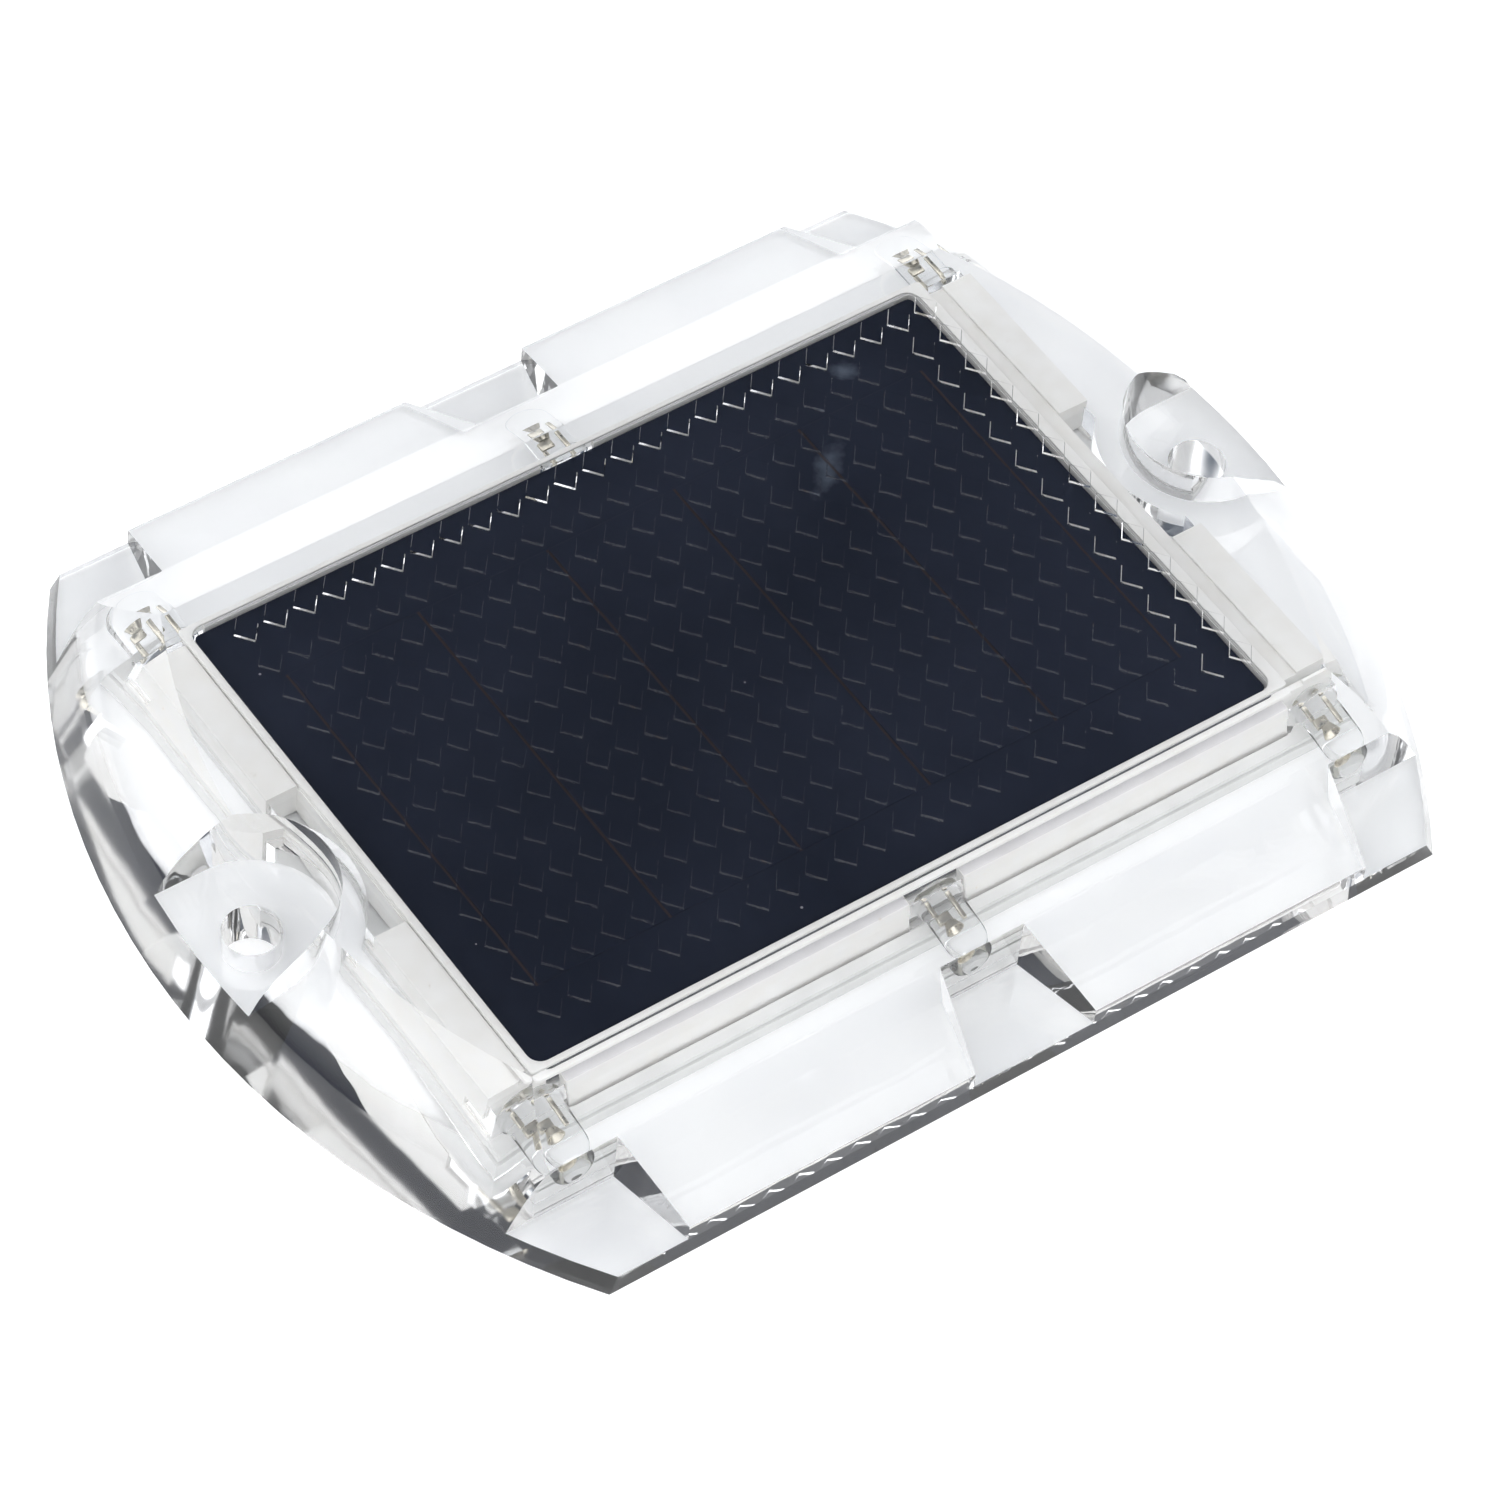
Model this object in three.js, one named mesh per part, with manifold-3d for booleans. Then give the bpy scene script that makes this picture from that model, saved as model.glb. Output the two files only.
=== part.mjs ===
// Raised pavement marker with a solar panel and six lights.
// A clear moulded shell stands on the road. Its flat top carries small grip
// pips over the solar panel; the long sides slope down as four ramps, with
// three light recesses between them on each side; the ends are rounded and
// carry a counterbored screw hole each. Inside are the panel, a tray, the
// control board, a flat rechargeable cell, six lights and a push switch that
// is pressed from below, all closed by a base plate.
// Millimetres, +Z up, origin at the middle of the underside.
import * as THREE from 'three';
import { mergeVertices } from 'three/addons/utils/BufferGeometryUtils.js';
import { ConvexGeometry } from 'three/addons/geometries/ConvexGeometry.js';
import Module from 'manifold-3d';

// ---- driving dimensions ----------------------------------------------------
const END_CENTRE_X = 20.1;        // centre of the far end's arc, mirrored for the other end
const END_PROFILE = [             // [radius, height] of the rounded ends
  [91.3, 0], [90.35, 1.9], [89.4, 3.8], [88.5, 5.65], [87.3, 7.6], [85.5, 9.6], [83.0, 11.4], [79.4, 13.6],
];
const PLATEAU_Z = 13.6;           // flat top
const SIDE_PROFILE = [            // [half-width, height] of the long sides
  [54.27, 0], [54.0, 1.9], [54.0, 4.16], [43.7, 9.1], [35.4, PLATEAU_Z],
];
const END_STEPS = 30;             // facets along each end arc

const RECESS_FLOOR_Z = 2.05;
const RECESS_WALL_Y = 43.6;
const RECESS_CENTRE_IN = 5.4, RECESS_CENTRE_OUT = 7.76;   // half-widths at the wall and at the edge
const RECESS_CORNER_IN = 45.7, RECESS_CORNER_OUT = 43.58; // where the corner recesses begin

const PIP_PITCH_X = 3.7, PIP_PITCH_Y = 4.82, PIP_NX = 12, PIP_NY = 6; // counts to each side of the middle
const PIP_BASE = [1.55, 1.95], PIP_TOP = [1.45, 1.83], PIP_H = 0.22;    // half-diagonals, height

const SCREW_X = 61.73, SCREW_R = 3.23;      // screw holes
const POCKET_R = 9.2, POCKET_Z = 5.65;      // counterbore, open outwards
const BOSS_R = 11.4;                        // material kept round each counterbore

const CAVITY = { x: 54.0, y: 36.5, yTop: 34.6, zSide: 8.2, zTop: 10.4 };
const LED_X = [-50, 0, 50], LED_Z = 5.6, LED_R = 2.5, LED_FLANGE_R = 2.9;
const LED_Y0 = 33.8, LED_DOME_Y = 39.9;     // flange back, where the dome begins
const LED_BORE_R = 2.8, LED_FLANGE_ROOM_R = 3.2, LED_BORE_END = 42.65;
const LEAD_DX = 1.27, LEAD_R = 0.28;

const PANEL = { x: 47.05, y: 32.95, cx: -1.1, cy: 0.55, z0: 6.2, z1: 6.7 }; // half sizes; it lies a little off centre
const panelBox = (grow, z0, z1, r, n) => roundedBox(PANEL.cx - PANEL.x - grow, PANEL.cx + PANEL.x + grow,
  PANEL.cy - PANEL.y - grow, PANEL.cy + PANEL.y + grow, z0, z1, r, n);
const LAMINATE_Z = [7.4, 7.7];
const RESIN_Z0 = 3.0, RESIN_SEAT_Z = 8.3, RESIN_SEAT_Y = 34.6; // clear resin between the shell and the panel
const STRIP_PITCH = 16.6, STRIP_W = 16.2, STRIP_HALF_Y = 24, STRIP_X0 = -42.4;
const BASE_T = 1.8, GAP = 0.3;

const BUTTON_X = -24, BUTTON_Y = 0;
const CAP_R = 3.0, CAP_HOLE_R = 3.6, PLUNGER_R = 1.5;

// ---- helpers ---------------------------------------------------------------
const wasm = await Module();
wasm.setup();

function solid(geometry) {
  let g = geometry.clone();
  for (const k of Object.keys(g.attributes)) if (k !== 'position') g.deleteAttribute(k);
  g = mergeVertices(g, 1e-4);
  let index = g.index.array;
  const keep = [];
  for (let i = 0; i < index.length; i += 3) {
    const [a, b, c] = [index[i], index[i + 1], index[i + 2]];
    if (a !== b && b !== c && a !== c) keep.push(a, b, c);
  }
  return new wasm.Manifold(new wasm.Mesh({
    numProp: 3,
    vertProperties: new Float32Array(g.attributes.position.array),
    triVerts: new Uint32Array(keep),
  }));
}
function geometryOf(man) {
  const m = man.getMesh();
  const g = new THREE.BufferGeometry();
  const pos = new Float32Array(m.numVert * 3);
  for (let i = 0; i < m.numVert; i++) for (let k = 0; k < 3; k++) pos[i * 3 + k] = m.vertProperties[i * m.numProp + k];
  g.setAttribute('position', new THREE.BufferAttribute(pos, 3));
  g.setIndex(new THREE.BufferAttribute(new Uint32Array(m.triVerts), 1));
  g.computeVertexNormals();
  return g;
}
const box = (x0, x1, y0, y1, z0, z1) =>
  new THREE.BoxGeometry(x1 - x0, y1 - y0, z1 - z0).translate((x0 + x1) / 2, (y0 + y1) / 2, (z0 + z1) / 2);
const cyl = (x, y, r, z0, z1, n = 32) =>
  new THREE.CylinderGeometry(r, r, z1 - z0, n).rotateX(Math.PI / 2).translate(x, y, (z0 + z1) / 2);
function prism(points, z0, z1) { // upright prism over [x, y] points
  const s = new THREE.Shape(points.map(([x, y]) => new THREE.Vector2(x, y)));
  return new THREE.ExtrudeGeometry(s, { depth: z1 - z0, bevelEnabled: false }).translate(0, 0, z0);
}
function roundedBox(x0, x1, y0, y1, z0, z1, r, n = 4) {
  const pts = [];
  for (const [cx, cy, a0] of [[x1 - r, y1 - r, 0], [x0 + r, y1 - r, 90], [x0 + r, y0 + r, 180], [x1 - r, y0 + r, 270]])
    for (let i = 0; i <= n; i++) {
      const a = (a0 + (90 * i) / n) * Math.PI / 180;
      pts.push([cx + r * Math.cos(a), cy + r * Math.sin(a)]);
    }
  return prism(pts, z0, z1);
}
function hull(points) { return new ConvexGeometry(points.map((p) => new THREE.Vector3(...p))); }
function wire(points, r, n = 8, steps = 11) {
  const curve = new THREE.CatmullRomCurve3(points.map((p) => new THREE.Vector3(...p)));
  const s = new THREE.Shape();
  for (let i = 0; i < n; i++) {
    const a = (i / n) * 2 * Math.PI;
    if (i === 0) s.moveTo(r * Math.cos(a), r * Math.sin(a)); else s.lineTo(r * Math.cos(a), r * Math.sin(a));
  }
  s.closePath();
  return new THREE.ExtrudeGeometry(s, { steps, bevelEnabled: false, extrudePath: curve });
}

const group = new THREE.Group();
const paint = {
  clear: { color: 0xf4f6f6, roughness: 0.06, metalness: 0, transparent: true, opacity: 0.35 },
  cell: { color: 0x10131c, roughness: 0.25, metalness: 0 },
  backboard: { color: 0x0d0f14, roughness: 0.45, metalness: 0 },
  cream: { color: 0xe9e5dc, roughness: 0.55, metalness: 0 },
  white: { color: 0xdfdfdd, roughness: 0.5, metalness: 0 },
  lens: { color: 0xf2f2ee, roughness: 0.08, metalness: 0 },
  metal: { color: 0xb9bab8, roughness: 0.35, metalness: 1 },
  board: { color: 0xd9d8cf, roughness: 0.4, metalness: 0 },
  chip: { color: 0x1b1b1d, roughness: 0.6, metalness: 0 },
  ferrite: { color: 0x2b2c2f, roughness: 0.7, metalness: 0 },
  battery: { color: 0x9aa0a6, roughness: 0.35, metalness: 0.6 },
  red: { color: 0xa3221c, roughness: 0.5, metalness: 0 },
  black: { color: 0x161616, roughness: 0.5, metalness: 0 },
  rubber: { color: 0x9b9b97, roughness: 0.8, metalness: 0 },
};
function add(name, geometry, look) {
  const mesh = new THREE.Mesh(geometry, new THREE.MeshStandardMaterial(paint[look]));
  mesh.name = name;
  group.add(mesh);
  return mesh;
}

// ---- top shell ------------------------------------------------------------
// One end: the convex body swept by the end profile, cut square far behind it.
function endBody(s) {
  const pts = [];
  const reach = 42; // degrees to each side, past the corners
  for (const [r, z] of END_PROFILE)
    for (let i = 0; i <= END_STEPS; i++) {
      const a = (-reach + (2 * reach * i) / END_STEPS) * Math.PI / 180;
      pts.push([s * (r * Math.cos(a) - END_CENTRE_X), r * Math.sin(a), z]);
    }
  for (const y of [-75, 75]) for (const z of [0, PLATEAU_Z]) pts.push([-s * 110, y, z]);
  return solid(hull(pts));
}
const sideBody = (() => {
  const right = SIDE_PROFILE.map(([y, z]) => [y, z]);
  const left = SIDE_PROFILE.map(([y, z]) => [-y, z]).reverse();
  const s = new THREE.Shape([...right, ...left].map(([a, b]) => new THREE.Vector2(a, b)));
  // shape x is +Y, shape y is +Z, extruded along +X
  const g = new THREE.ExtrudeGeometry(s, { depth: 200, bevelEnabled: false });
  g.applyMatrix4(new THREE.Matrix4().makeBasis(
    new THREE.Vector3(0, 1, 0), new THREE.Vector3(0, 0, 1), new THREE.Vector3(1, 0, 0)));
  return solid(g.translate(-100, 0, 0));
})();
let shell = endBody(1).intersect(endBody(-1)).intersect(sideBody);

// light recesses: a centre one and two corner ones on each long side
for (const sy of [-1, 1]) {
  const centre = [[-RECESS_CENTRE_IN, RECESS_WALL_Y], [RECESS_CENTRE_IN, RECESS_WALL_Y],
    [RECESS_CENTRE_OUT + 0.25, 55.1], [-RECESS_CENTRE_OUT - 0.25, 55.1]];
  const flip = (p) => (sy > 0 ? p : p.map(([x, y]) => [x, -y]).reverse());
  shell = shell.subtract(solid(prism(flip(centre), RECESS_FLOOR_Z, 12)));
  for (const sx of [-1, 1]) {
    let p = [[RECESS_CORNER_IN, RECESS_WALL_Y], [75, RECESS_WALL_Y], [75, 60], [RECESS_CORNER_OUT - 1.15, 60]];
    p = p.map(([x, y]) => [sx * x, sy * y]);
    if (sx * sy < 0) p.reverse();
    shell = shell.subtract(solid(prism(p, RECESS_FLOOR_Z, 12)));
  }
}

// screw holes and their counterbores, open to the outside
for (const s of [-1, 1]) {
  const pts = [];
  for (let i = 0; i <= 24; i++) {
    const a = Math.PI / 2 + (Math.PI * i) / 24;
    pts.push([s * (SCREW_X + POCKET_R * Math.cos(a)), POCKET_R * Math.sin(a)]);
  }
  pts.push([s * 90, -POCKET_R], [s * 90, POCKET_R]);
  if (s < 0) pts.reverse();
  shell = shell.subtract(solid(prism(pts, POCKET_Z, 20)));
  shell = shell.subtract(solid(cyl(s * SCREW_X, 0, SCREW_R, -2, 8, 40)));
}

// cavity for the works, with a bore for each light
function cavitySolid(shrink, z0) {
  const c = CAVITY, k = shrink;
  const right = [[c.y - k, z0], [c.y - k, c.zSide - k], [c.yTop - k, c.zTop - k]];
  const left = right.map(([y, z]) => [-y, z]).reverse();
  const s = new THREE.Shape([...right, ...left].map(([a, b]) => new THREE.Vector2(a, b)));
  const g = new THREE.ExtrudeGeometry(s, { depth: 2 * (c.x - k), bevelEnabled: false });
  g.applyMatrix4(new THREE.Matrix4().makeBasis(
    new THREE.Vector3(0, 1, 0), new THREE.Vector3(0, 0, 1), new THREE.Vector3(1, 0, 0)));
  let body = solid(g.translate(-(c.x - k), 0, 0));
  for (const s2 of [-1, 1]) body = body.subtract(solid(cyl(s2 * SCREW_X, 0, BOSS_R + k, z0 - 1, 20, 56)));
  return body;
}
// round bore along Y for one light, from y0 to y1 on the side sy
const ledBore = (x, sy, r, y0, y1) =>
  solid(new THREE.CylinderGeometry(r, r, y1 - y0, 28).translate(x, sy * (y0 + y1) / 2, LED_Z));
let cavity = cavitySolid(0, -2);
for (const x of LED_X) for (const sy of [-1, 1]) cavity = cavity.add(ledBore(x, sy, LED_BORE_R, 35, LED_BORE_END));
shell = shell.subtract(cavity);

// grip pips: low rhombic frustums on the flat top
const pipPoints = (half, z) => [[half[0], 0, z], [0, half[1], z], [-half[0], 0, z], [0, -half[1], z]];
{
  const sink = 0.2; // each pip roots a little way into the top
  const one = hull([...pipPoints([PIP_BASE[0], PIP_BASE[1]], PLATEAU_Z - sink), ...pipPoints(PIP_BASE, PLATEAU_Z),
    ...pipPoints(PIP_TOP, PLATEAU_Z + PIP_H)]);
  let pips = null;
  for (let i = -PIP_NX; i <= PIP_NX; i++) {
    let column = null;
    for (let j = -PIP_NY; j <= PIP_NY; j++) {
      const p = solid(one.clone().translate(i * PIP_PITCH_X, j * PIP_PITCH_Y, 0));
      column = column ? column.add(p) : p;
    }
    pips = pips ? pips.add(column) : column;
  }
  shell = shell.add(pips);
}
add('top_shell', geometryOf(shell), 'clear');

// ---- base plate -----------------------------------------------------------
const basePlate = cavitySolid(GAP, -2).intersect(solid(box(-60, 60, -60, 60, 0, BASE_T)))
  .subtract(solid(cyl(BUTTON_X, BUTTON_Y, CAP_HOLE_R, -1, 4, 36)));
add('base_plate', geometryOf(basePlate), 'white');

// gasket ring on the plate's rim
let gasket = cavitySolid(0.5, -2).intersect(solid(box(-60, 60, -60, 60, BASE_T + GAP, BASE_T + GAP + 0.6)));
gasket = gasket.subtract(solid(roundedBox(-47.9, 47.9, -34.6, 34.6, 0, 5, 2)));
add('base_gasket', geometryOf(gasket), 'rubber');

// ---- inner tray: frame that carries the panel and ends in two wide strips ---
const TRAY = { z0: 3.0, ledge0: 5.2, ledge1: 5.9, rim: 7.3, strip: 8.0, railY: 34.3, stripX: 49.7, notchY: 10.4 };
let tray = cavitySolid(0.45, -2).intersect(solid(box(-60, 60, -TRAY.railY, TRAY.railY, TRAY.z0, TRAY.strip)));
// the panel's seat, the ledge under its edge, and the open middle
tray = tray.subtract(solid(panelBox(0.3, TRAY.ledge1, 12, 0.8)));
tray = tray.subtract(solid(roundedBox(-45.2, 45.2, -30.5, 30.5, 0, 12, 2)));
tray = tray.subtract(solid(roundedBox(-47.4, 47.4, -36, 36, 0, TRAY.ledge0, 1.5)));
// lower rim all round, the wide strips at the ends stand a little higher
tray = tray.subtract(solid(box(-TRAY.stripX, TRAY.stripX, -40, 40, TRAY.rim, 12)));
for (const sx of [-1, 1]) {
  // notch that clears the counterbore's boss
  tray = tray.subtract(solid(box(sx > 0 ? TRAY.stripX : -60, sx > 0 ? 60 : -TRAY.stripX, -TRAY.notchY, TRAY.notchY, 0, 12)));
  for (const sy of [-1, 1]) { // room for the corner lights and the ends of their boards
    const y = (u, v) => (sy > 0 ? [u, v] : [-v, -u]);
    const x = (u, v) => (sx > 0 ? [u, v] : [-v, -u]);
    tray = tray.subtract(solid(box(...x(44, 56), ...y(29.4, 40), 0, 4.6)));
    tray = tray.subtract(solid(box(...x(46.5, 56), ...y(32.6, 40), 0, 12)));
  }
}
for (const sy of [-1, 1])
  tray = tray.subtract(solid(box(-3.5, 3.5, sy > 0 ? 32.6 : -40, sy > 0 ? 40 : -32.6, 0, 12)));
add('inner_tray', geometryOf(tray), 'cream');

// ---- clear resin: fills the cavity above the panel and beside the tray ------
let resin = cavitySolid(GAP, -2).intersect(solid(box(-60, 60, -60, 60, RESIN_Z0, 12)));
resin = resin.subtract(solid(box(-60, 60, -RESIN_SEAT_Y, RESIN_SEAT_Y, 0, RESIN_SEAT_Z)));
for (const x of LED_X) for (const sy of [-1, 1])
  resin = resin.subtract(ledBore(x, sy, LED_BORE_R, 33, 39)).subtract(ledBore(x, sy, LED_FLANGE_ROOM_R, 33, 35.2));
add('clear_resin', geometryOf(resin), 'clear');

// ---- solar panel ----------------------------------------------------------
add('panel_backboard', panelBox(0, PANEL.z0, PANEL.z1, 0.7, 3), 'backboard');
for (let i = 0; i < 5; i++) {
  const x0 = STRIP_X0 + i * STRIP_PITCH + (STRIP_PITCH - STRIP_W) / 2;
  add(`solar_cell_${i + 1}`, box(x0, x0 + STRIP_W, -STRIP_HALF_Y, STRIP_HALF_Y, PANEL.z1 + GAP, PANEL.z1 + GAP + 0.15), 'cell');
}
add('panel_laminate', panelBox(0, LAMINATE_Z[0], LAMINATE_Z[1], 0.7, 3), 'clear');

// ---- lights ---------------------------------------------------------------
function ledGeometry() { // axis along +Z, flange back at 0
  const p = [[0, 0], [LED_FLANGE_R, 0], [LED_FLANGE_R, 1], [LED_R, 1.02], [LED_R, LED_DOME_Y - LED_Y0]];
  for (let i = 1; i <= 4; i++) {
    const a = (i / 4) * Math.PI / 2;
    p.push([i === 4 ? 0 : LED_R * Math.cos(a), LED_DOME_Y - LED_Y0 + LED_R * Math.sin(a)]);
  }
  return new THREE.LatheGeometry(p.map(([r, z]) => new THREE.Vector2(r, z)), 16).rotateX(Math.PI / 2);
}
const leadTop = 4.4; // leads bend down to their board
let ledNumber = 0;
for (const sy of [-1, 1]) for (const x of LED_X) {
  ledNumber += 1;
  // LatheGeometry turned to +Z, then laid along the outward Y
  const g = ledGeometry().rotateX(sy > 0 ? -Math.PI / 2 : Math.PI / 2).translate(x, sy * LED_Y0, LED_Z);
  add(`led_${ledNumber}`, geometryOf(solid(g)), 'lens');
  for (const [k, dx] of [['a', -LEAD_DX], ['b', LEAD_DX]])
    add(`led_${ledNumber}_lead_${k}`, geometryOf(solid(wire([
      [x + dx, sy * (LED_Y0 - GAP), LED_Z], [x + dx, sy * (LED_Y0 - 0.5), LED_Z], [x + dx, sy * (LED_Y0 - 0.7), LED_Z - 0.12],
      [x + dx, sy * (LED_Y0 - 0.8), LED_Z - 0.45], [x + dx, sy * (LED_Y0 - 0.8), leadTop]], LEAD_R, 6, 10))), 'metal');
}
for (const [name, sy] of [['front', -1], ['back', 1]])
  add(`led_board_${name}`, box(-53, 53, sy > 0 ? 29.8 : -33.6, sy > 0 ? 33.6 : -29.8, 3.3, 4.1), 'board');

// ---- control board, its parts and the cell ---------------------------------
const BOARD = { x0: -42, x1: 8, y0: -20, y1: 20, z0: 3.9, z1: 4.7 };
add('control_board', roundedBox(BOARD.x0, BOARD.x1, BOARD.y0, BOARD.y1, BOARD.z0, BOARD.z1, 1.2, 3), 'board');
add('driver_chip', box(-8, -3, -4, 2, BOARD.z1 + GAP, BOARD.z1 + GAP + 0.8), 'chip');
add('inductor', geometryOf(solid(cyl(-30, 10, 2.6, 2.1, BOARD.z0 - GAP, 24))), 'ferrite');
add('capacitor', geometryOf(solid(cyl(-12, -12, 2.0, 2.3, BOARD.z0 - GAP, 20))), 'metal');
add('diode', box(-14, -10.4, 8, 10, BOARD.z1 + GAP, BOARD.z1 + GAP + 0.8), 'chip');
add('resistor_1', box(-22, -20, -12, -10.8, BOARD.z1 + GAP, BOARD.z1 + GAP + 0.5), 'chip');
add('resistor_2', box(-22, -20, -8, -6.8, BOARD.z1 + GAP, BOARD.z1 + GAP + 0.5), 'chip');
add('battery_cell', roundedBox(12, 44, -17, 17, 2.2, 5.4, 1.6, 4), 'battery');

add('battery_wire_red', geometryOf(solid(wire([[11.7, 3.5, 3.4], [11.0, 3.6, 3.3], [10.0, 4.2, 3.1], [8.6, 4.7, 2.9], [7.4, 4.8, 2.9], [6.4, 4.8, 3.15]], 0.4))), 'red');
add('battery_wire_black', geometryOf(solid(wire([[11.7, -3.5, 3.4], [11.0, -3.6, 3.3], [10.0, -4.2, 3.1], [8.6, -4.7, 2.9], [7.4, -4.8, 2.9], [6.4, -4.8, 3.15]], 0.4))), 'black');
add('panel_wire_red', geometryOf(solid(wire([[-38, 14, 5.85], [-38, 14.15, 5.6], [-38, 14.7, 5.45], [-38, 15.6, 5.4], [-38, 16.3, 5.3], [-38, 16.5, 5.02]], 0.22, 6, 12))), 'red');
add('panel_wire_black', geometryOf(solid(wire([[-34, 14, 5.85], [-34, 14.15, 5.6], [-34, 14.7, 5.45], [-34, 15.6, 5.4], [-34, 16.3, 5.3], [-34, 16.5, 5.02]], 0.22, 6, 12))), 'black');
for (const [name, sy] of [['front', -1], ['back', 1]])
  for (const [k, x, look] of [['red', -18, 'red'], ['black', -14, 'black']])
    add(`led_board_wire_${name}_${k}`, geometryOf(solid(wire([[x, sy * 20.35, 4.3], [x, sy * 21.2, 4.3], [x, sy * 23, 4.15],
      [x, sy * 25.5, 3.85], [x, sy * 28, 3.72], [x, sy * 29.45, 3.7]], 0.4))), look);

// ---- push switch -----------------------------------------------------------
let switchBody = solid(box(BUTTON_X - 3.1, BUTTON_X + 3.1, BUTTON_Y - 3.1, BUTTON_Y + 3.1, 2.5, BOARD.z0 - GAP));
switchBody = switchBody.subtract(solid(cyl(BUTTON_X, BUTTON_Y, PLUNGER_R + 0.3, 2.0, 3.4, 24)));
add('switch_body', geometryOf(switchBody), 'chip');
let plunger = solid(cyl(BUTTON_X, BUTTON_Y, PLUNGER_R, 1.0, 2.75, 24));
add('switch_button', geometryOf(plunger), 'black');
let cap = solid(cyl(BUTTON_X, BUTTON_Y, CAP_R, 0.4, 1.6, 32));
cap = cap.subtract(solid(cyl(BUTTON_X, BUTTON_Y, PLUNGER_R + 0.3, 0.75, 3, 24)));
add('button_cap', geometryOf(cap), 'rubber');

export default group;
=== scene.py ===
# Looks of the solar pavement marker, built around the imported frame. Metres, +Z up.
import math

import bmesh
import bpy
from mathutils import Matrix, Vector


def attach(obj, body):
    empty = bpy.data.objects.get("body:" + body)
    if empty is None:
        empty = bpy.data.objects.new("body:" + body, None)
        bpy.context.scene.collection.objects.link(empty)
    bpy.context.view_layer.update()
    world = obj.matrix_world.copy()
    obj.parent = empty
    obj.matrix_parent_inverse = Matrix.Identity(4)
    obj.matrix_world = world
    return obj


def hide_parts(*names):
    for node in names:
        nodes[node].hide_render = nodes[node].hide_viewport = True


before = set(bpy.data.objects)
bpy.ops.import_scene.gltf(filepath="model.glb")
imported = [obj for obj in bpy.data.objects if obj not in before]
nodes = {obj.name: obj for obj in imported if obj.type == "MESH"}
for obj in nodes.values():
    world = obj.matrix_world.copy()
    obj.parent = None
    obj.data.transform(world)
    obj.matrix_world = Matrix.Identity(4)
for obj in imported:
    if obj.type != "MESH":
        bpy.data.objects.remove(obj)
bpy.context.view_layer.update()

MM = 0.001
scene = bpy.context.scene


# ---------------------------------------------------------------- camera
def make_camera():
    az, el, roll = (math.radians(a) for a in (-39.8717, 51.2308, 6.4886))
    back = Vector((math.sin(az) * math.cos(el), -math.cos(az) * math.cos(el), math.sin(el)))
    target = Vector((-1.0838, -4.0232, 0.0)) * MM
    fwd = -back
    right = fwd.cross(Vector((0, 0, 1))).normalized()
    up = right.cross(fwd)
    right, up = right * math.cos(roll) + up * math.sin(roll), -right * math.sin(roll) + up * math.cos(roll)
    data = bpy.data.cameras.new("camera")
    data.sensor_width = 36.0
    data.lens = 162.08
    data.clip_start, data.clip_end = 0.01, 20
    cam = bpy.data.objects.new("camera", data)
    scene.collection.objects.link(cam)
    rot = Matrix((right, up, back)).transposed()
    cam.matrix_world = Matrix.Translation(target + back * 0.72596) @ rot.to_4x4()
    scene.camera = cam
    return cam


make_camera()
scene.view_settings.view_transform = "Standard"


# ---------------------------------------------------------------- stage: floor and sky dome
def make_world():
    world = bpy.data.worlds.new("studio")
    scene.world = world
    world.use_nodes = True
    nt = world.node_tree
    nt.nodes.clear()
    out = nt.nodes.new("ShaderNodeOutputWorld")
    bg = nt.nodes.new("ShaderNodeBackground")
    tc = nt.nodes.new("ShaderNodeTexCoord")
    # even white tent with one dark flag high up behind the marker
    dot = nt.nodes.new("ShaderNodeVectorMath")
    dot.operation = "DOT_PRODUCT"
    dot.inputs[1].default_value = Vector((0.40, 0.48, 0.78)).normalized()
    ramp = nt.nodes.new("ShaderNodeValToRGB")
    nt.links.new(tc.outputs["Generated"], dot.inputs[0])
    nt.links.new(dot.outputs["Value"], ramp.inputs[0])
    e = ramp.color_ramp.elements
    stops = [(0.0, 1.0), (0.80, 1.0), (0.91, 0.06), (1.0, 0.04)]
    while len(e) < len(stops):
        e.new(0.5)
    for s, (p, v) in zip(e, stops):
        s.position = p
        s.color = (v * 0.985, v * 0.992, v, 1) if v > 0.5 else (v * 0.80, v * 0.98, v * 1.30, 1)
    sep = nt.nodes.new("ShaderNodeSeparateXYZ")
    low = nt.nodes.new("ShaderNodeValToRGB")
    nt.links.new(tc.outputs["Generated"], sep.inputs[0])
    nt.links.new(sep.outputs["Z"], low.inputs[0])
    e = low.color_ramp.elements
    e[0].position, e[0].color = 0.0, (0.30, 0.31, 0.33, 1)
    e[1].position, e[1].color = 0.36, (1, 1, 1, 1)
    mul = nt.nodes.new("ShaderNodeMix")
    mul.data_type, mul.blend_type = "RGBA", "MULTIPLY"
    mul.inputs[0].default_value = 1.0
    nt.links.new(ramp.outputs[0], mul.inputs[6])
    nt.links.new(low.outputs[0], mul.inputs[7])
    nt.links.new(mul.outputs[2], bg.inputs["Color"])
    bg.inputs["Strength"].default_value = 2.15
    nt.links.new(bg.outputs[0], out.inputs["Surface"])


make_world()


def mesh_object(name, verts, faces, scale=MM):
    me = bpy.data.meshes.new(name)
    me.from_pydata([tuple(c * scale for c in v) for v in verts], [], faces)
    me.update()
    ob = bpy.data.objects.new(name, me)
    scene.collection.objects.link(ob)
    return ob


def new_material(name):
    m = bpy.data.materials.new(name)
    m.use_nodes = True
    nt = m.node_tree
    bsdf = nt.nodes["Principled BSDF"]
    return m, nt, bsdf


def link(nt, a, b):
    nt.links.new(a, b)


def coords(nt):
    tc = nt.nodes.new("ShaderNodeTexCoord")
    return tc.outputs["Object"]


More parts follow.
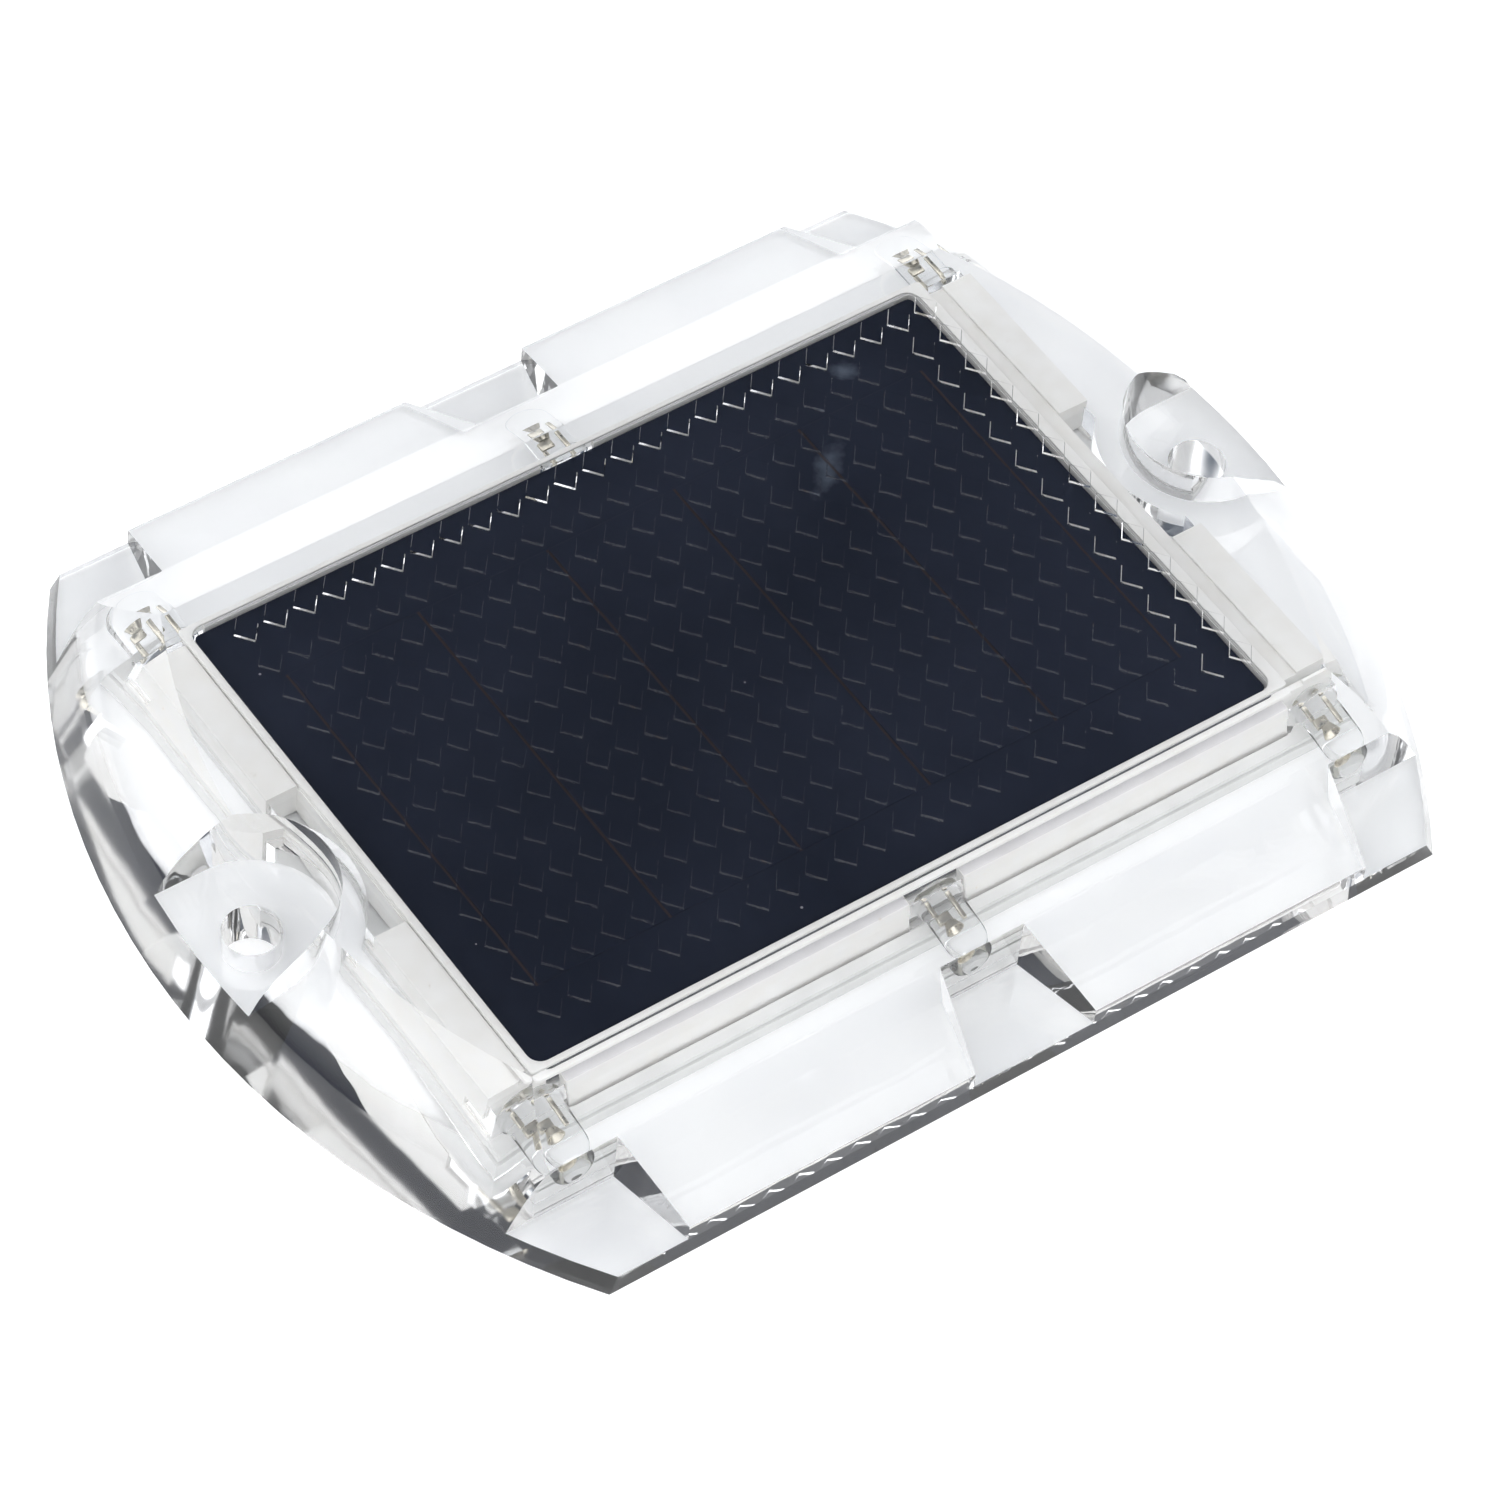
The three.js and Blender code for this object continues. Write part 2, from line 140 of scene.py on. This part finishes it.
def noise(nt, vec, scale, detail=3.0, rough=0.55, distortion=0.0):
    n = nt.nodes.new("ShaderNodeTexNoise")
    n.inputs["Scale"].default_value = scale
    n.inputs["Detail"].default_value = detail
    n.inputs["Roughness"].default_value = rough
    n.inputs["Distortion"].default_value = distortion
    nt.links.new(vec, n.inputs["Vector"])
    return n.outputs["Fac"]


def ramp(nt, fac, stops):
    r = nt.nodes.new("ShaderNodeValToRGB")
    e = r.color_ramp.elements
    while len(e) < len(stops):
        e.new(0.5)
    for s, (p, c) in zip(e, stops):
        s.position = p
        s.color = (c, c, c, 1) if not hasattr(c, "__len__") else (*c, 1)
    nt.links.new(fac, r.inputs[0])
    return r.outputs[0]


def bump(nt, height, strength, distance, bsdf, normal=None):
    b = nt.nodes.new("ShaderNodeBump")
    b.inputs["Strength"].default_value = strength
    b.inputs["Distance"].default_value = distance
    nt.links.new(height, b.inputs["Height"])
    if normal is not None:
        nt.links.new(normal, b.inputs["Normal"])
    nt.links.new(b.outputs[0], bsdf.inputs["Normal"])
    return b.outputs[0]


def math_node(nt, op, a, b=None, clamp=False):
    n = nt.nodes.new("ShaderNodeMath")
    n.operation = op
    n.use_clamp = clamp
    for i, v in enumerate((a, b)):
        if v is None:
            continue
        if isinstance(v, (int, float)):
            n.inputs[i].default_value = v
        else:
            nt.links.new(v, n.inputs[i])
    return n.outputs[0]


def mix_rgb(nt, fac, a, b, mode="MIX"):
    n = nt.nodes.new("ShaderNodeMix")
    n.data_type = "RGBA"
    n.blend_type = mode
    for key, v in ((0, fac), (6, a), (7, b)):
        if isinstance(v, (int, float)):
            n.inputs[key].default_value = v
        elif isinstance(v, (tuple, list)):
            n.inputs[key].default_value = (*v, 1) if len(v) == 3 else v
        else:
            nt.links.new(v, n.inputs[key])
    return n.outputs[2]


def floor():
    ob = mesh_object("floor", [(-3000, -3000, -0.2), (3000, -3000, -0.2), (3000, 3000, -0.2), (-3000, 3000, -0.2)], [(0, 1, 2, 3)])
    m, nt, b = new_material("floor_pale")
    n = noise(nt, coords(nt), 18, 3)
    link(nt, ramp(nt, n, [(0.3, 0.90), (0.7, 0.93)]), b.inputs["Base Color"])
    b.inputs["Roughness"].default_value = 0.85
    b.inputs["Specular IOR Level"].default_value = 0.2
    b.inputs["Emission Color"].default_value = (0.985, 0.99, 1.0, 1)
    b.inputs["Emission Strength"].default_value = 0.19
    ob.data.materials.append(m)


floor()


# ---------------------------------------------------------------- materials
def srgb(r, g, b):
    f = lambda c: (c / 255) / 12.92 if c / 255 <= 0.04045 else ((c / 255 + 0.055) / 1.055) ** 2.4
    return (f(r), f(g), f(b))


def clear_material():
    m, nt, b = new_material("clear_plastic")
    v = coords(nt)
    cloud = noise(nt, v, 75, 5, 0.6, 0.3)
    link(nt, ramp(nt, cloud, [(0.36, (0.950, 0.956, 0.967)), (0.60, (0.991, 0.996, 1.0))]), b.inputs["Base Color"])
    b.inputs["Transmission Weight"].default_value = 1.0
    b.inputs["IOR"].default_value = 1.585
    # soft flow ripple of the moulding, with a faint handling haze
    haze = noise(nt, v, 420, 4, 0.6)
    # the steep outer wall of each end is matter than the polished faces
    sep = nt.nodes.new("ShaderNodeSeparateXYZ")
    nt.links.new(v, sep.inputs[0])
    ax = math_node(nt, "ADD", math_node(nt, "ABSOLUTE", sep.outputs["X"]), 20.1 * MM)
    rr = math_node(nt, "SQRT", math_node(nt, "ADD", math_node(nt, "MULTIPLY", ax, ax), math_node(nt, "MULTIPLY", sep.outputs["Y"], sep.outputs["Y"])))
    wall = math_node(nt, "MULTIPLY", math_node(nt, "GREATER_THAN", rr, 88.3 * MM), math_node(nt, "GREATER_THAN", sep.outputs["Z"], 0.1 * MM))
    rough = math_node(nt, "ADD", ramp(nt, haze, [(0.45, 0.012), (0.75, 0.05)]), math_node(nt, "MULTIPLY", wall, 0.13))
    link(nt, rough, b.inputs["Roughness"])
    wave = noise(nt, v, 95, 2, 0.4)
    bump(nt, wave, 0.04, 0.002, b)
    return m


def plastic(name, colour, dark, rough=(0.4, 0.55), stain=None, scale=260, bump_d=0.00003):
    m, nt, b = new_material(name)
    v = coords(nt)
    n = noise(nt, v, scale, 5, 0.6)
    col = mix_rgb(nt, ramp(nt, n, [(0.35, 0.0), (0.7, 1.0)]), colour, dark)
    if stain is not None:
        s = noise(nt, v, 620, 6, 0.7, 0.4)
        col = mix_rgb(nt, ramp(nt, s, [(0.66, 0.0), (0.74, 0.55)]), col, stain)
    link(nt, col, b.inputs["Base Color"])
    link(nt, ramp(nt, n, [(0.3, rough[0]), (0.7, rough[1])]), b.inputs["Roughness"])
    bump(nt, noise(nt, v, 2600, 3), 0.25, bump_d, b)
    return m


def metal(name, colour, rough=(0.22, 0.4)):
    m, nt, b = new_material(name)
    v = coords(nt)
    n = noise(nt, v, 1500, 4)
    link(nt, mix_rgb(nt, n, colour, tuple(c * 0.75 for c in colour)), b.inputs["Base Color"])
    b.inputs["Metallic"].default_value = 1.0
    link(nt, ramp(nt, n, [(0.3, rough[0]), (0.7, rough[1])]), b.inputs["Roughness"])
    bump(nt, n, 0.2, 0.00002, b)
    return m


def lens_material():
    m, nt, b = new_material("lens_clear")
    v = coords(nt)
    b.inputs["Base Color"].default_value = (0.98, 0.985, 0.99, 1)
    b.inputs["Transmission Weight"].default_value = 1.0
    b.inputs["IOR"].default_value = 1.06
    n = noise(nt, v, 900, 3)
    link(nt, ramp(nt, n, [(0.4, 0.02), (0.7, 0.08)]), b.inputs["Roughness"])
    return m


# position helpers on the panel (mm), built with maths nodes on object coordinates
PITCH, WIDTH, HALF_Y, STRIP_X0 = 16.6, 16.2, 24.0, -42.4


def panel_material(name, seams):
    m, nt, b = new_material(name)
    v = coords(nt)
    sep = nt.nodes.new("ShaderNodeSeparateXYZ")
    nt.links.new(v, sep.inputs[0])
    big = noise(nt, v, 34, 4, 0.55)
    fine = noise(nt, v, 900, 4, 0.6)
    col = mix_rgb(nt, ramp(nt, big, [(0.35, 0.0), (0.65, 1.0)]), srgb(23, 28, 42), srgb(34, 39, 54))
    col = mix_rgb(nt, ramp(nt, fine, [(0.6, 0.0), (0.8, 0.35)]), col, srgb(38, 42, 54))
    # two pale smudges in the clear layer over the cells
    for cx, cy, ux, uy, rx, ry, k in ((33.4, 28.4, 0.77, -0.64, 2.3, 1.5, 0.42), (23.6, 17.8, 0.71, 0.70, 4.6, 1.8, 0.36)):
        dx = math_node(nt, "SUBTRACT", sep.outputs["X"], cx * MM)
        dy = math_node(nt, "SUBTRACT", sep.outputs["Y"], cy * MM)
        du = math_node(nt, "DIVIDE", math_node(nt, "ADD", math_node(nt, "MULTIPLY", dx, ux), math_node(nt, "MULTIPLY", dy, uy)), rx * MM)
        dv = math_node(nt, "DIVIDE", math_node(nt, "SUBTRACT", math_node(nt, "MULTIPLY", dy, ux), math_node(nt, "MULTIPLY", dx, uy)), ry * MM)
        d = math_node(nt, "SQRT", math_node(nt, "ADD", math_node(nt, "MULTIPLY", du, du), math_node(nt, "MULTIPLY", dv, dv)))
        d = math_node(nt, "ADD", d, math_node(nt, "MULTIPLY", math_node(nt, "SUBTRACT", noise(nt, v, 420, 4, 0.6), 0.5), 1.8))
        mask = ramp(nt, d, [(0.1, k), (1.15, 0.0)])
        col = mix_rgb(nt, mask, col, srgb(120, 130, 146))
    if seams:
        # brown line where two strips meet
        off = math_node(nt, "DIVIDE", math_node(nt, "SUBTRACT", sep.outputs["X"], STRIP_X0 * MM), PITCH * MM)
        frac = math_node(nt, "ABSOLUTE", math_node(nt, "SUBTRACT", off, math_node(nt, "ROUND", off)))
        mask = math_node(nt, "LESS_THAN", frac, 0.009)
        mask = math_node(nt, "MULTIPLY", mask, math_node(nt, "LESS_THAN", math_node(nt, "ABSOLUTE", sep.outputs["Y"]), HALF_Y * MM))
        col = mix_rgb(nt, math_node(nt, "MULTIPLY", mask, 0.7), col, srgb(58, 46, 42))
    # sparse specks of dust and tiny bubbles
    vor = nt.nodes.new("ShaderNodeTexVoronoi")
    vor.inputs["Scale"].default_value = 230
    nt.links.new(v, vor.inputs["Vector"])
    sepc = nt.nodes.new("ShaderNodeSeparateColor")
    nt.links.new(vor.outputs["Color"], sepc.inputs[0])
    speck = math_node(nt, "MULTIPLY", math_node(nt, "LESS_THAN", vor.outputs["Distance"], 0.035), math_node(nt, "GREATER_THAN", sepc.outputs[0], 0.62))
    col = mix_rgb(nt, math_node(nt, "MULTIPLY", speck, 0.8), col, srgb(150, 150, 158))
    link(nt, col, b.inputs["Base Color"])
    link(nt, ramp(nt, fine, [(0.3, 0.3), (0.7, 0.45)]), b.inputs["Roughness"])
    b.inputs["Specular IOR Level"].default_value = 0.12
    return m


MAT = {
    "clear": clear_material(),
    "lens": lens_material(),
    "cell": panel_material("solar_cell_dark", False),
    "backboard": panel_material("panel_board_dark", True),
    "cream": plastic("tray_cream", srgb(253, 252, 250), srgb(247, 245, 241), stain=srgb(190, 174, 152)),
    "flange": plastic("flange_white", srgb(232, 230, 232), srgb(222, 220, 222), stain=srgb(196, 184, 168)),
    "white": plastic("plate_white", srgb(244, 244, 243), srgb(235, 235, 234)),
    "rubber": plastic("seal_rubber_pale", srgb(240, 240, 239), srgb(230, 230, 229), rough=(0.6, 0.8)),
    "board": plastic("board_lacquer", srgb(222, 220, 205), srgb(205, 203, 188), rough=(0.25, 0.4)),
    "chip": plastic("moulded_black", srgb(30, 30, 32), srgb(44, 44, 46), rough=(0.5, 0.65)),
    "ferrite": plastic("ferrite_grey", srgb(44, 45, 48), srgb(60, 61, 64), rough=(0.6, 0.8)),
    "wrap": plastic("battery_wrap", srgb(150, 155, 160), srgb(128, 132, 138), rough=(0.25, 0.4)),
    "red": plastic("wire_red", srgb(165, 36, 30), srgb(140, 28, 24)),
    "black": plastic("wire_black", srgb(26, 26, 27), srgb(38, 38, 39)),
    "metal": metal("tinned_metal", srgb(214, 208, 194)),
    "capblack": plastic("button_rubber", srgb(196, 196, 192), srgb(180, 180, 176), rough=(0.55, 0.75)),
}


def paint(names, key, smooth=False):
    for n in names if isinstance(names, (list, tuple)) else [names]:
        o = nodes[n]
        o.data.materials.clear()
        o.data.materials.append(MAT[key])


paint("base_plate", "white")
paint("base_gasket", "rubber")
paint("inner_tray", "cream")
paint("panel_backboard", "backboard")
paint([f"solar_cell_{i}" for i in range(1, 6)], "cell")
paint([f"led_{i}" for i in range(1, 7)], "lens")
paint([f"led_{i}_lead_{k}" for i in range(1, 7) for k in "ab"], "metal")
paint(["led_board_front", "led_board_back", "control_board"], "board")
paint(["driver_chip", "diode", "resistor_1", "resistor_2", "switch_body"], "chip")
paint("inductor", "ferrite")
paint("capacitor", "metal")
paint("battery_cell", "wrap")
paint([n for n in nodes if n.endswith("_red")], "red")
paint([n for n in nodes if n.endswith("_black")], "black")
paint("switch_button", "chip")
paint("button_cap", "capblack")


# ---------------------------------------------------------------- clear body
def prism_x(name, profile, x0, x1):
    """Closed prism over [y, z] points, counter-clockwise seen from +X."""
    n = len(profile)
    verts = [(x0, y, z) for y, z in profile] + [(x1, y, z) for y, z in profile]
    faces = [tuple(reversed(range(n))), tuple(range(n, 2 * n))]
    faces += [(i, (i + 1) % n, n + (i + 1) % n, n + i) for i in range(n)]
    return mesh_object(name, verts, faces)


def box_object(name, x0, x1, y0, y1, z0, z1):
    return prism_x(name, [(y0, z0), (y1, z0), (y1, z1), (y0, z1)], x0, x1)


def cylinder(name, centre, r, h0, h1, axis, n=48):
    verts, faces = [], []
    for h in (h0, h1):
        for i in range(n):
            a = 2 * math.pi * (i + 0.37) / n
            c, s = r * math.cos(a), r * math.sin(a)
            verts.append((centre[0] + c, centre[1] + s, h) if axis == "z" else (centre[0] + c, h, centre[1] + s))
    faces = [(i, (i + 1) % n, n + (i + 1) % n, n + i) for i in range(n)] + [tuple(reversed(range(n))), tuple(range(n, 2 * n))]
    ob = mesh_object(name, verts, faces)
    bm = bmesh.new()
    bm.from_mesh(ob.data)
    bmesh.ops.recalc_face_normals(bm, faces=bm.faces[:])
    bm.to_mesh(ob.data)
    bm.free()
    return ob


def boolean(target, others, operation):
    col = bpy.data.collections.new("cutters")
    for o in others:
        col.objects.link(o)
    mod = target.modifiers.new("cut", "BOOLEAN")
    mod.operation = operation
    mod.operand_type = "COLLECTION"
    mod.collection = col
    mod.solver = "EXACT"
    dg = bpy.context.evaluated_depsgraph_get()
    me = bpy.data.meshes.new_from_object(target.evaluated_get(dg))
    target.modifiers.clear()
    target.data = me
    for o in others:
        bpy.data.objects.remove(o)
    bpy.data.collections.remove(col)
    return target


def soften(ob, angle, keep_flat=False):
    """Smooth shading inside each curved surface, with crisp edges where faces meet at more than the angle."""
    bm = bmesh.new()
    bm.from_mesh(ob.data)
    for f in bm.faces:
        f.smooth = True
    for e in bm.edges:
        if len(e.link_faces) != 2:
            continue
        a, b = (f.normal for f in e.link_faces)
        turn = math.degrees(a.angle(b, 0.0))
        both_flat = keep_flat and abs(a.x) < 0.01 and abs(b.x) < 0.01
        large = keep_flat and max(f.calc_area() for f in e.link_faces) > 40e-6
        e.smooth = not (turn > angle or ((both_flat or large) and turn > 1.0))
    bm.to_mesh(ob.data)
    bm.free()


def make_clear_body():
    body = bpy.data.objects.new("clear_body", nodes["top_shell"].data.copy())
    scene.collection.objects.link(body)
    bm = bmesh.new()
    bm.from_mesh(body.data)
    bmesh.ops.remove_doubles(bm, verts=bm.verts[:], dist=2e-6)
    bm.to_mesh(body.data)
    bm.free()
    # the resin that fills the cavity and the light bores, down to the foot
    fill = prism_x("fill", [(-36.7, 0), (36.7, 0), (36.7, 8.35), (34.75, 10.65), (-34.75, 10.65), (-36.7, 8.35)], -54.2, 54.2)
    bosses = [cylinder(f"boss{i}", (s * 61.73, 0), 11.2, -5, 25, "z", 96) for i, s in enumerate((-1, 1))]
    boolean(fill, bosses, "DIFFERENCE")
    plugs = [fill]
    for i, x in enumerate((-50, 0, 50)):
        for j, s in enumerate((-1, 1)):
            y0, y1 = sorted((s * 36.0, s * 42.9))
            plugs.append(cylinder(f"plug{i}{j}", (x, 5.6), 3.1, y0, y1, "y", 48))
    boolean(body, plugs, "UNION")
    # room for the works under the panel, and the seat of the base plate
    cuts = [box_object("room", -53.2, 53.2, -33.95, 33.95, -3, 6.45), box_object("seat", -53.6, 53.6, -36.1, 36.1, -3, 1.7)]
    bosses = [cylinder(f"boss{i}", (s * 61.73, 0), 11.8, -5, 25, "z", 96) for i, s in enumerate((-1, 1))]
    boolean(cuts[1], bosses, "DIFFERENCE")
    bosses = [cylinder(f"boss{i}", (s * 61.73, 0), 11.9, -5, 25, "z", 96) for i, s in enumerate((-1, 1))]
    boolean(cuts[0], bosses, "DIFFERENCE")
    boolean(body, cuts, "DIFFERENCE")
    bm = bmesh.new()
    bm.from_mesh(body.data)
    bmesh.ops.remove_doubles(bm, verts=bm.verts[:], dist=5e-6)
    bmesh.ops.dissolve_degenerate(bm, edges=bm.edges[:], dist=5e-6)
    bmesh.ops.dissolve_limit(bm, angle_limit=math.radians(0.6), verts=bm.verts[:], edges=bm.edges[:])
    bm.to_mesh(body.data)
    bm.free()
    body.data.materials.clear()
    body.data.materials.append(MAT["clear"])
    for p in body.data.polygons:
        p.material_index = 0
    soften(body, 18, keep_flat=True)
    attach(body, "marker")
    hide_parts("top_shell", "clear_resin", "panel_laminate")
    return body


clear_body = make_clear_body()

# ---------------------------------------------------------------- lights
def lathe_y(name, profile, centre_x, z, sign, segments=40):
    """Solid of revolution about the line (centre_x, z) along Y; profile is [radius, |y|] from axis to axis."""
    verts, faces, rings = [], [], []
    for r, h in profile:
        if r < 1e-6:
            rings.append([len(verts)])
            verts.append((centre_x, sign * h, z))
        else:
            rings.append(list(range(len(verts), len(verts) + segments)))
            for i in range(segments):
                a = 2 * math.pi * i / segments
                verts.append((centre_x + r * math.cos(a), sign * h, z + r * math.sin(a)))
    for p, q in zip(rings, rings[1:]):
        for i in range(segments):
            k = (i + 1) % segments
            if len(p) == 1:
                faces.append((p[0], q[i], q[k]))
            elif len(q) == 1:
                faces.append((p[i], p[k], q[0]))
            else:
                faces.append((p[i], p[k], q[k], q[i]))
    ob = mesh_object(name, verts, faces)
    bm = bmesh.new()
    bm.from_mesh(ob.data)
    bmesh.ops.recalc_face_normals(bm, faces=bm.faces[:])
    bm.to_mesh(ob.data)
    bm.free()
    return ob


def soft_block(name, x0, x1, y0, y1, z0, z1, r, segments=2):
    """Block with rounded edges, in millimetres."""
    ob = box_object(name, x0, x1, y0, y1, z0, z1)
    bm = bmesh.new()
    bm.from_mesh(ob.data)
    bmesh.ops.recalc_face_normals(bm, faces=bm.faces[:])
    bmesh.ops.bevel(bm, geom=bm.edges[:], offset=r * MM, segments=segments, affect="EDGES", profile=0.5)
    bm.to_mesh(ob.data)
    bm.free()
    return ob


def join(name, parts):
    bm = bmesh.new()
    for p in parts:
        bm.from_mesh(p.data)
    me = bpy.data.meshes.new(name)
    bm.to_mesh(me)
    bm.free()
    for p in parts:
        bpy.data.objects.remove(p)
    ob = bpy.data.objects.new(name, me)
    scene.collection.objects.link(ob)
    return ob


def dress(ob, key, body="marker", angle=32):
    ob.data.materials.clear()
    ob.data.materials.append(MAT[key])
    soften(ob, angle)
    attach(ob, body)
    return ob


number = 0
for sign in (-1, 1):
    for x in (-50, 0, 50):
        number += 1
        dome = [(2.5 * math.cos(t), 39.9 + 2.5 * math.sin(t)) for t in (math.pi / 2 * i / 12 for i in range(0, 12))] + [(0, 42.4)]
        lens = lathe_y(f"light_lens_{number}", [(0, 33.8), (2.8, 33.8), (2.9, 33.9), (2.9, 34.7), (2.8, 34.8), (2.56, 34.84), (2.5, 34.95)] + dome, x, 5.6, sign)
        dress(lens, "lens")
        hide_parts(f"led_{number}")
        # lead frame inside the lens: anvil with its reflector cup, and the post beside it
        cup = lathe_y("cup", [(0, 37.5), (0.62, 37.5), (1.05, 38.6), (0.95, 38.6), (0.5, 37.85), (0, 37.85)], x - 0.35, 5.6, sign, 28)
        y = lambda a, b: tuple(sorted((sign * a, sign * b)))
        anvil = soft_block("anvil", x - 1.45, x + 0.15, *y(36.2, 37.4), 5.3, 5.9, 0.12)
        leg_a = soft_block("leg_a", x - 1.52, x - 1.02, *y(34.1, 36.1), 5.35, 5.85, 0.1)
        leg_b = soft_block("leg_b", x + 1.02, x + 1.52, *y(34.1, 37.9), 5.35, 5.85, 0.1)
        frame_piece = join(f"light_frame_{number}", [cup, anvil, leg_a, leg_b])
        dress(frame_piece, "metal")

# skirts under the tray's rim, which stand on the base plate between the lights
for side, s in (("front", -1), ("back", 1)):
    y0, y1 = sorted((s * 33.72, s * 34.2))
    for k, (x0, x1) in enumerate(((-46.4, -3.6), (3.6, 46.4))):
        dress(soft_block(f"tray_skirt_{side}_{k + 1}", x0, x1, y0, y1, 1.86, 5.35, 0.08), "cream")
for side, s in (("left", -1), ("right", 1)):
    x0, x1 = sorted((s * 52.9, s * 53.48))
    for k, (y0, y1) in enumerate(((-33.6, -8.6), (8.6, 33.6))):
        dress(soft_block(f"tray_foot_{side}_{k + 1}", x0, x1, y0, y1, 1.86, 3.15, 0.08), "cream")

# frame that laps over the panel's margin, with rounded inner corners
def frame_ring(name, outer, inner, r_out, r_in, z0, z1, n=10):
    def outline(x0, x1, y0, y1, r):
        pts = []
        for cx, cy, a0 in ((x1 - r, y1 - r, 0), (x0 + r, y1 - r, 90), (x0 + r, y0 + r, 180), (x1 - r, y0 + r, 270)):
            for i in range(n + 1):
                a = math.radians(a0 + 90 * i / n)
                pts.append((cx + r * math.cos(a), cy + r * math.sin(a)))
        return pts
    o, k = outline(*outer, r_out), outline(*inner, r_in)
    m = len(o)
    verts = [(x, y, z0) for x, y in o] + [(x, y, z1) for x, y in o] + [(x, y, z1) for x, y in k] + [(x, y, z0) for x, y in k]
    faces = []
    for ring in range(4):
        a, b = ring * m, ((ring + 1) % 4) * m
        faces += [(a + i, a + (i + 1) % m, b + (i + 1) % m, b + i) for i in range(m)]
    ob = mesh_object(name, verts, faces)
    bm = bmesh.new()
    bm.from_mesh(ob.data)
    bmesh.ops.recalc_face_normals(bm, faces=bm.faces[:])
    top = [e for e in bm.edges if min(v.co.z for v in e.verts) > (z1 - 0.01) * MM
           and math.degrees(e.link_faces[0].normal.angle(e.link_faces[1].normal, 0.0)) > 60]
    bmesh.ops.bevel(bm, geom=top, offset=0.12 * MM, segments=2, affect="EDGES", profile=0.5, clamp_overlap=True)
    bm.to_mesh(ob.data)
    bm.free()
    return ob


dress(frame_ring("tray_frame", (-49.65, 47.5, -33.75, 34.3), (-48.76, 46.15, -33.05, 33.68), 0.5, 1.6, 8.6, 9.1), "cream")
# lips on the tray's long rails, which stop short of the lights
for side, y0, y1 in (("front", -34.25, -32.78), ("back", 33.9, 34.25)):
    for k, (x0, x1) in enumerate(((-46.4, -3.6), (3.6, 46.4))):
        dress(soft_block(f"tray_lip_{side}_{k + 1}", x0, x1, y0, y1, 7.25, 7.42, 0.05), "flange")

# beads along the tray's ends, between the panel and the wide strips
for side, x0, x1 in (("left", -49.6, -48.5), ("right", 46.3, 47.4)):
    dress(soft_block(f"tray_bead_{side}", x0, x1, -32.4, 33.5, 7.2, 7.75, 0.18), "cream")

# cell strips, thin wafers that lie on the board
for i in range(5):
    x = STRIP_X0 + i * PITCH + (PITCH - WIDTH) / 2
    strip = soft_block(f"cell_strip_{i + 1}", x, x + WIDTH, -HALF_Y, HALF_Y, 6.73, 6.80, 0.02, 1)
    dress(strip, "cell")
    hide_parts(f"solar_cell_{i + 1}")

# underside: the base plate with its lower edge rounded, and the soft cap over the switch
def make_base_plate():
    plate = bpy.data.objects.new("plate_moulding", nodes["base_plate"].data.copy())
    scene.collection.objects.link(plate)
    bm = bmesh.new()
    bm.from_mesh(plate.data)
    bmesh.ops.remove_doubles(bm, verts=bm.verts[:], dist=2e-6)
    bmesh.ops.dissolve_limit(bm, angle_limit=math.radians(0.6), verts=bm.verts[:], edges=bm.edges[:])
    rim = [e for e in bm.edges if len(e.link_faces) == 2 and max(abs(v.co.z) for v in e.verts) < 0.05 * MM
           and math.degrees(e.link_faces[0].normal.angle(e.link_faces[1].normal, 0.0)) > 60]
    bmesh.ops.bevel(bm, geom=rim, offset=0.25 * MM, segments=2, affect="EDGES", profile=0.5, clamp_overlap=True)
    bm.to_mesh(plate.data)
    bm.free()
    dress(plate, "white", angle=32)
    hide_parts("base_plate")


make_base_plate()

cap = lathe_y("cap_dome", [(0, 0.42), (1.3, 0.44), (2.3, 0.52), (2.75, 0.66), (2.95, 0.9), (3.0, 1.15), (3.0, 1.6), (0, 1.6)], -24, 0, 1, 48)
for v in cap.data.vertices:
    v.co = (v.co.x, v.co.z, v.co.y)
bm = bmesh.new()
bm.from_mesh(cap.data)
bmesh.ops.recalc_face_normals(bm, faces=bm.faces[:])
bm.to_mesh(cap.data)
bm.free()
dress(cap, "capblack", body="push_button")
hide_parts("button_cap")
